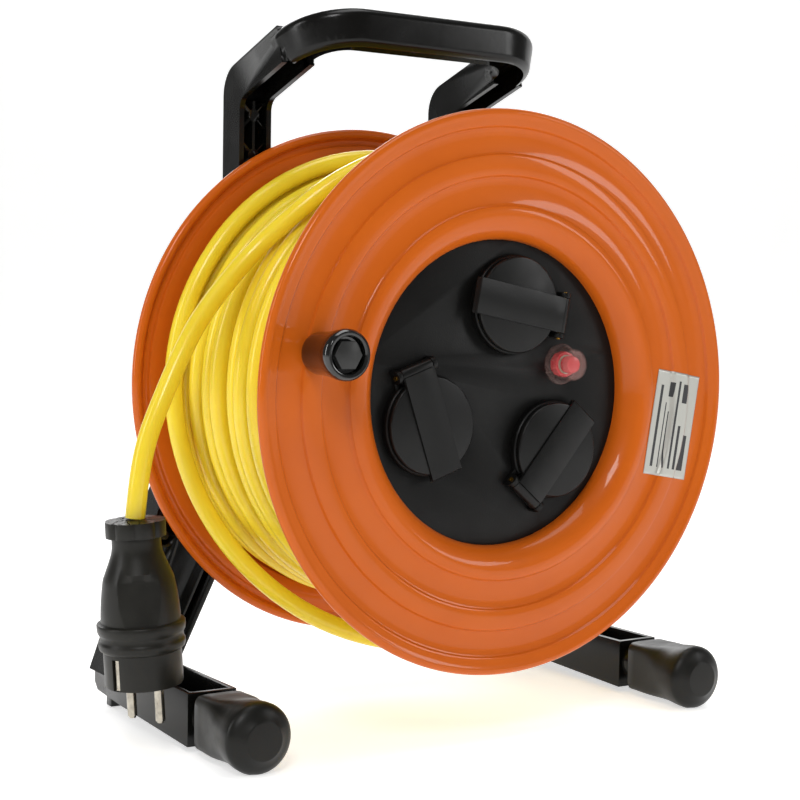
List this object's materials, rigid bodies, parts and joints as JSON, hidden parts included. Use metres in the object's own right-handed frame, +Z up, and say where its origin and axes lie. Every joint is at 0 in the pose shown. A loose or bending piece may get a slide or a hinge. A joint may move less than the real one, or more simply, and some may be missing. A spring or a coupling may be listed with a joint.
{
  "type": "extension cord reel",
  "caption": "Free-standing cord reel: steel drum with lidded earthed sockets turning on a moulded carrying frame, with wound cord and plug.",
  "frame": {"origin": "centre of the footprint, on the ground under the drum", "axes": "+Z up, +Y from the sockets towards the carrying frame, +X to the right seen from the sockets; the drum turns about Y"},
  "size_m": [0.3546, 0.205, 0.3805],
  "materials": {
    "frame_plastic": "black moulded polypropylene, semi-gloss",
    "cap_rubber": "matt black rubber",
    "zinc_steel": "zinc-plated steel",
    "nylon": "natural nylon",
    "drum_paint": "orange powder coat on pressed steel, glossy",
    "panel_plastic": "black fine-textured plastic",
    "brass": "turned brass",
    "breaker_plastic": "black thermoset",
    "red_plastic": "red moulded plastic",
    "clear_boot": "clear flexible boot",
    "knob_plastic": "glossy black plastic",
    "knob_hex": "dark grey hexagon",
    "cord_pvc": "yellow flexible sheath",
    "plug_rubber": "matt black rubber",
    "plug_face": "pale insulating plastic",
    "nickel": "nickel-plated brass",
    "label_film": "silver film",
    "lid_plastic": "black moulded plastic",
    "seal_rubber": "black rubber"
  },
  "bodies": {
    "frame": {"carry_frame": "frame_plastic", "foot_bar_left": "frame_plastic", "foot_bar_right": "frame_plastic", "foot_cap_left": "cap_rubber", "foot_cap_right": "cap_rubber", "foot_screws": "zinc_steel", "axle_bolt": "zinc_steel", "rear_washer": "nylon", "front_washer": "zinc_steel", "axle_nut": "zinc_steel", "cable_lead": "cord_pvc", "plug_gland_nut": "plug_rubber", "plug_body": "plug_rubber", "plug_face": "plug_face", "plug_pins": "nickel", "plug_earth_strips": "nickel"},
    "drum": {"bearing_bush": "nylon", "front_flange": "drum_paint", "rear_flange": "drum_paint", "drum_core": "drum_paint", "drum_screws": "zinc_steel", "socket_panel": "panel_plastic", "socket_housing": "panel_plastic", "socket_contacts": "brass", "earth_clips": "brass", "socket_screws": "brass", "hinge_pins": "brass", "lid_springs": "zinc_steel", "breaker_case": "breaker_plastic", "breaker_nut": "red_plastic", "breaker_boot": "clear_boot", "knob_washer": "nylon", "knob_nut": "zinc_steel", "knob_bolt": "knob_hex", "cord_gland": "panel_plastic", "cable_coil": "cord_pvc", "rating_label": "label_film", "socket_insert_1": "panel_plastic", "socket_insert_2": "panel_plastic", "socket_insert_3": "panel_plastic"},
    "crank": {"crank_knob": "knob_plastic"},
    "button": {"reset_button": "red_plastic"},
    "lid_1": {"socket_lid_1": "lid_plastic", "lid_seal_1": "seal_rubber"},
    "lid_2": {"socket_lid_2": "lid_plastic", "lid_seal_2": "seal_rubber"},
    "lid_3": {"socket_lid_3": "lid_plastic", "lid_seal_3": "seal_rubber"}
  },
  "joints": [
    {"name": "drum_spin", "type": "hinge", "parent": "frame", "child": "drum", "pos_m": [0, 0, 0.18], "axis": [0, 1, 0], "continuous": true},
    {"name": "knob_spin", "type": "hinge", "parent": "drum", "child": "crank", "pos_m": [-0.11382, -0.09, 0.2013], "axis": [0, 1, 0], "continuous": true},
    {"name": "button_press", "type": "slide", "parent": "drum", "child": "button", "axis": [0, 1, 0], "range_m": [0, 0.002], "stiffness_N_per_m": 400},
    {"name": "lid_1_hinge", "type": "hinge", "parent": "drum", "child": "lid_1", "pos_m": [0.03748, -0.0661, 0.22035], "axis": [0.1822, 0, 0.9833], "range_deg": [0, 110], "stiffness_Nm_per_rad": 0.01, "springref_deg": -20.05},
    {"name": "lid_2_hinge", "type": "hinge", "parent": "drum", "child": "lid_2", "pos_m": [-0.05368, -0.0661, 0.19229], "axis": [-0.9426, 0, -0.3338], "range_deg": [0, 110], "stiffness_Nm_per_rad": 0.01, "springref_deg": -20.05},
    {"name": "lid_3_hinge", "type": "hinge", "parent": "drum", "child": "lid_3", "pos_m": [0.0162, -0.0661, 0.12737], "axis": [0.7604, 0, -0.6494], "range_deg": [0, 110], "stiffness_Nm_per_rad": 0.01, "springref_deg": -20.05}
  ]
}
